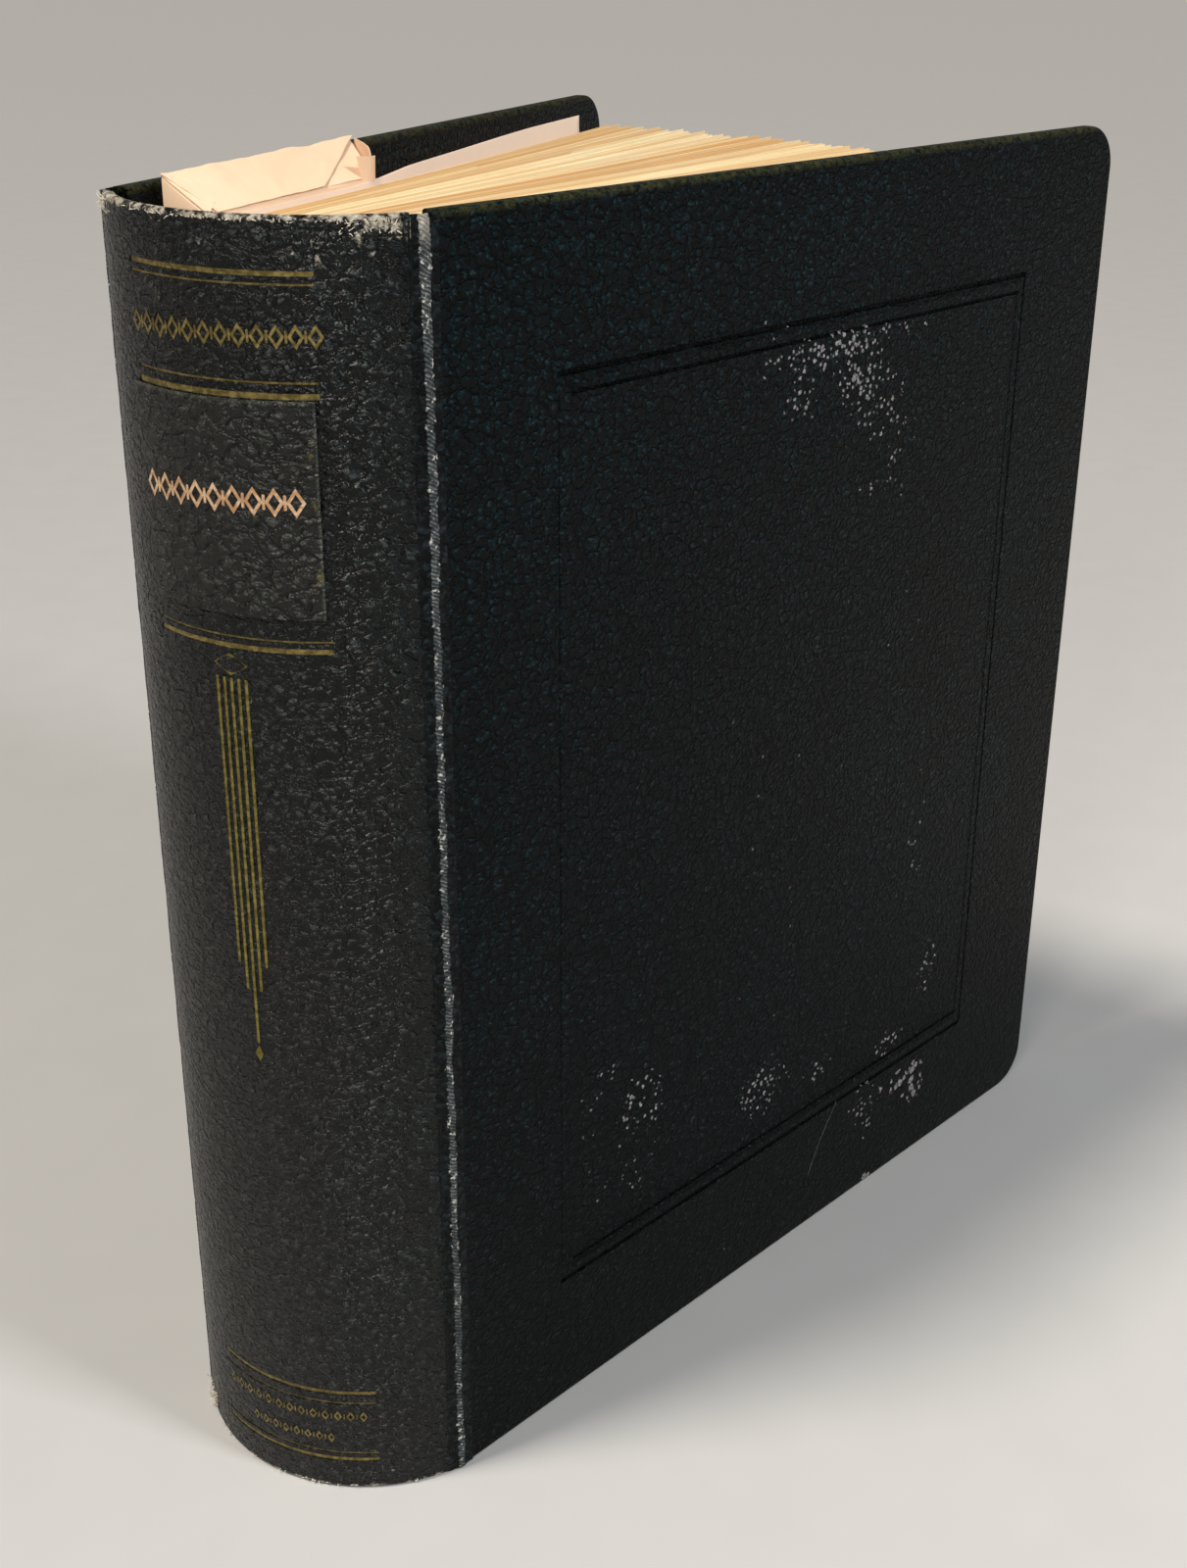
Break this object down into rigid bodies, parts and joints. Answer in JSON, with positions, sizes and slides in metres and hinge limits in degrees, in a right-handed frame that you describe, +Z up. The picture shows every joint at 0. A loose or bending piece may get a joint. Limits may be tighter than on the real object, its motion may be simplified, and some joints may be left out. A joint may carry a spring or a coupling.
{
  "type": "stamp album",
  "caption": "Upright two-post stamp album with leather-cloth covers on a curved spine, fanned leaves, a lock bar for the posts and a wrapped packet behind the leaves.",
  "frame": {"origin": "foot of the spine on its centreline, in the plane of the tail edges that the album stands on", "axes": "+Z up from tail to head, -Y out of the spine, +X towards the front cover"},
  "size_m": [0.1715, 0.2784, 0.3183],
  "materials": {
    "leather_cloth": "pebbled leather cloth, satin, worn through at the edges",
    "inner_cloth": "smooth leather cloth, matte",
    "label_cloth": "coarse-grained leather cloth with traces of gilding",
    "grey_board": "dense grey board, hidden",
    "joint_cloth": "twill backing cloth, worn bare",
    "hinge_steel": "plain steel, hidden",
    "plated_steel": "dull nickel plate",
    "album_paper": "cream album paper, slightly yellowed",
    "pink_paper": "thin pinkish-beige paper",
    "wrapping_paper": "cream wrapping paper, folded and creased",
    "filler_card": "pasteboard strips"
  },
  "bodies": {
    "binding": {"spine_board": "grey_board", "spine_skin": "leather_cloth", "spine_lining": "inner_cloth", "spine_label": "label_cloth", "front_spine_leaf": "hinge_steel", "back_spine_leaf": "hinge_steel", "front_hinge_pin": "hinge_steel", "back_hinge_pin": "hinge_steel", "front_joint_cloth": "joint_cloth", "back_joint_cloth": "joint_cloth", "back_plate": "plated_steel", "front_plate": "plated_steel", "foot_rivets": "plated_steel", "binding_posts": "plated_steel", "filler_strips": "filler_card", "lock_guides": "plated_steel", "leaf_stubs": "album_paper", "rear_sheet": "pink_paper"},
    "front_cover": {"front_board": "grey_board", "front_skin": "leather_cloth", "front_lining": "inner_cloth", "front_cover_leaf": "hinge_steel", "front_leaf_rivets": "hinge_steel"},
    "back_cover": {"back_board": "grey_board", "back_skin": "leather_cloth", "back_lining": "inner_cloth", "back_cover_leaf": "hinge_steel", "back_leaf_rivets": "hinge_steel"},
    "lock": {"lock_bar": "plated_steel"},
    "packet": {"packet_wrap": "wrapping_paper", "packet_filling": "album_paper"},
    "leaves_1": {"leaf_section_1": "album_paper"},
    "leaves_2": {"leaf_section_2": "album_paper"},
    "leaves_3": {"leaf_section_3": "album_paper"},
    "leaves_4": {"leaf_section_4": "album_paper"},
    "leaves_5": {"leaf_section_5": "album_paper"},
    "leaves_6": {"leaf_section_6": "album_paper"}
  },
  "joints": [
    {"name": "front_cover_hinge", "type": "hinge", "parent": "binding", "child": "front_cover", "pos_m": [0.03621, 0.0192, 0.1585], "axis": [0, 0, -1], "range_deg": [0, 130], "deforming": ["front_joint_cloth"]},
    {"name": "back_cover_hinge", "type": "hinge", "parent": "binding", "child": "back_cover", "pos_m": [-0.03601, 0.0189, 0.1585], "axis": [0, 0, 1], "range_deg": [0, 140], "deforming": ["back_joint_cloth"]},
    {"name": "lock_slide", "type": "slide", "parent": "binding", "child": "lock", "axis": [0, 0, 1], "range_m": [0, 0.008]},
    {"name": "packet_lift", "type": "slide", "parent": "binding", "child": "packet", "axis": [0, 0, 1], "range_m": [0, 0.33]},
    {"name": "leaf_hinge_1", "type": "hinge", "parent": "binding", "child": "leaves_1", "pos_m": [-0.0126, 0.036, 0.162], "axis": [0, 0, -1], "range_deg": [0, 7.04]},
    {"name": "leaf_hinge_2", "type": "hinge", "parent": "binding", "child": "leaves_2", "pos_m": [-0.0062, 0.036, 0.162], "axis": [0, 0, -1], "range_deg": [0, 12.56]},
    {"name": "leaf_hinge_3", "type": "hinge", "parent": "binding", "child": "leaves_3", "pos_m": [0.0002, 0.036, 0.162], "axis": [0, 0, -1], "range_deg": [0, 20.55]},
    {"name": "leaf_hinge_4", "type": "hinge", "parent": "binding", "child": "leaves_4", "pos_m": [0.0066, 0.036, 0.162], "axis": [0, 0, -1], "range_deg": [0, 31.55]},
    {"name": "leaf_hinge_5", "type": "hinge", "parent": "binding", "child": "leaves_5", "pos_m": [0.013, 0.036, 0.162], "axis": [0, 0, -1], "range_deg": [0, 45.06]},
    {"name": "leaf_hinge_6", "type": "hinge", "parent": "binding", "child": "leaves_6", "pos_m": [0.0194, 0.036, 0.162], "axis": [0, 0, -1], "range_deg": [0, 70.05]}
  ],
  "couplings": [
    {"joint": "leaf_hinge_1", "follows": "front_cover_hinge", "ratio": 0.0538},
    {"joint": "leaf_hinge_2", "follows": "front_cover_hinge", "ratio": 0.0962},
    {"joint": "leaf_hinge_3", "follows": "front_cover_hinge", "ratio": 0.1577},
    {"joint": "leaf_hinge_4", "follows": "front_cover_hinge", "ratio": 0.2423},
    {"joint": "leaf_hinge_5", "follows": "front_cover_hinge", "ratio": 0.3462},
    {"joint": "leaf_hinge_6", "follows": "front_cover_hinge", "ratio": 0.5385}
  ]
}
